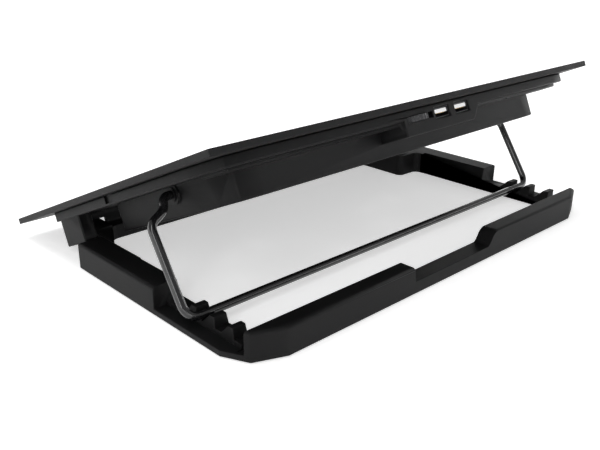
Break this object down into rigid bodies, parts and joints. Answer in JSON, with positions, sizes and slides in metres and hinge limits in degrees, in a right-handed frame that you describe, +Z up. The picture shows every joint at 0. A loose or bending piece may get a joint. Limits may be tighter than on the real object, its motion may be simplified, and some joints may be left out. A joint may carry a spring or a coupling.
{
  "type": "laptop cooling pad",
  "caption": "Tilting laptop cooling pad: mesh deck over two fans, wire stand in toothed base rails, hinge at the front, rear port block with speed wheel.",
  "frame": {"origin": "centre of the footprint, at the table", "axes": "+Z up, the front edge of the deck faces -Y, +X to the user's right"},
  "size_m": [0.34, 0.2394, 0.11],
  "materials": {
    "black_mesh": "satin black",
    "black_plastic": "fine textured",
    "black_rubber": "matte",
    "black_steel": "gloss black",
    "board_green": "solder mask",
    "brass": "plain",
    "bright_steel": "bright",
    "copper": "enamelled wire",
    "core_steel": "laminated",
    "dark_steel": "black oxide",
    "fan_plastic": "satin black",
    "gold": "plated",
    "lead_red": "soft",
    "magnet": "matte",
    "pale_plastic": "plain",
    "white_plastic": "plain"
  },
  "bodies": {
    "base": {"base_frame": "black_plastic", "base_feet": "black_rubber", "hinge_pins": "bright_steel"},
    "deck": {"deck_plate": "black_plastic", "mesh_panel": "black_mesh", "grip_strips": "black_rubber", "laptop_stops": "black_rubber", "under_tray": "black_plastic", "tray_screws": "dark_steel", "intake_grille_left": "black_plastic", "intake_grille_right": "black_plastic", "fan_frame_left": "fan_plastic", "fan_frame_right": "fan_plastic", "fan_bearing_left": "brass", "fan_bearing_right": "brass", "stator_core_left": "core_steel", "stator_core_right": "core_steel", "stator_coils_left": "copper", "stator_coils_right": "copper", "driver_board_left": "board_green", "driver_board_right": "board_green", "fan_lead_left": "lead_red", "fan_lead_right": "lead_red", "fan_screws": "dark_steel", "port_board": "board_green", "port_shells": "bright_steel", "port_tongues": "white_plastic", "port_contacts": "gold", "board_screws": "dark_steel", "speed_control": "fan_plastic", "stand_bushes": "pale_plastic"},
    "fan_left": {"fan_rotor_left": "fan_plastic", "rotor_magnet_left": "magnet", "fan_shaft_left": "bright_steel"},
    "fan_right": {"fan_rotor_right": "fan_plastic", "rotor_magnet_right": "magnet", "fan_shaft_right": "bright_steel"},
    "wheel": {"speed_wheel": "fan_plastic"},
    "stand": {"wire_stand": "black_steel", "stand_retainers": "bright_steel"}
  },
  "joints": [
    {"name": "deck_tilt", "type": "hinge", "parent": "base", "child": "deck", "pos_m": [0, -0.0732, 0.0115], "axis": [1, 0, 0], "range_deg": [0, 11]},
    {"name": "stand_swing", "type": "hinge", "parent": "deck", "child": "stand", "pos_m": [0, 0.03134, 0.06439], "axis": [1, 0, 0], "range_deg": [0, 70]},
    {"name": "fan_left_spin", "type": "hinge", "parent": "deck", "child": "fan_left", "pos_m": [-0.068, 0.02294, 0.06285], "axis": [0, -0.4051, 0.9143], "continuous": true},
    {"name": "fan_right_spin", "type": "hinge", "parent": "deck", "child": "fan_right", "pos_m": [0.068, 0.02294, 0.06285], "axis": [0, -0.4051, 0.9143], "continuous": true},
    {"name": "speed_turn", "type": "hinge", "parent": "deck", "child": "wheel", "pos_m": [0.0156, 0.08761, 0.09414], "axis": [0, -0.4051, 0.9143], "range_deg": [0, 250]}
  ]
}
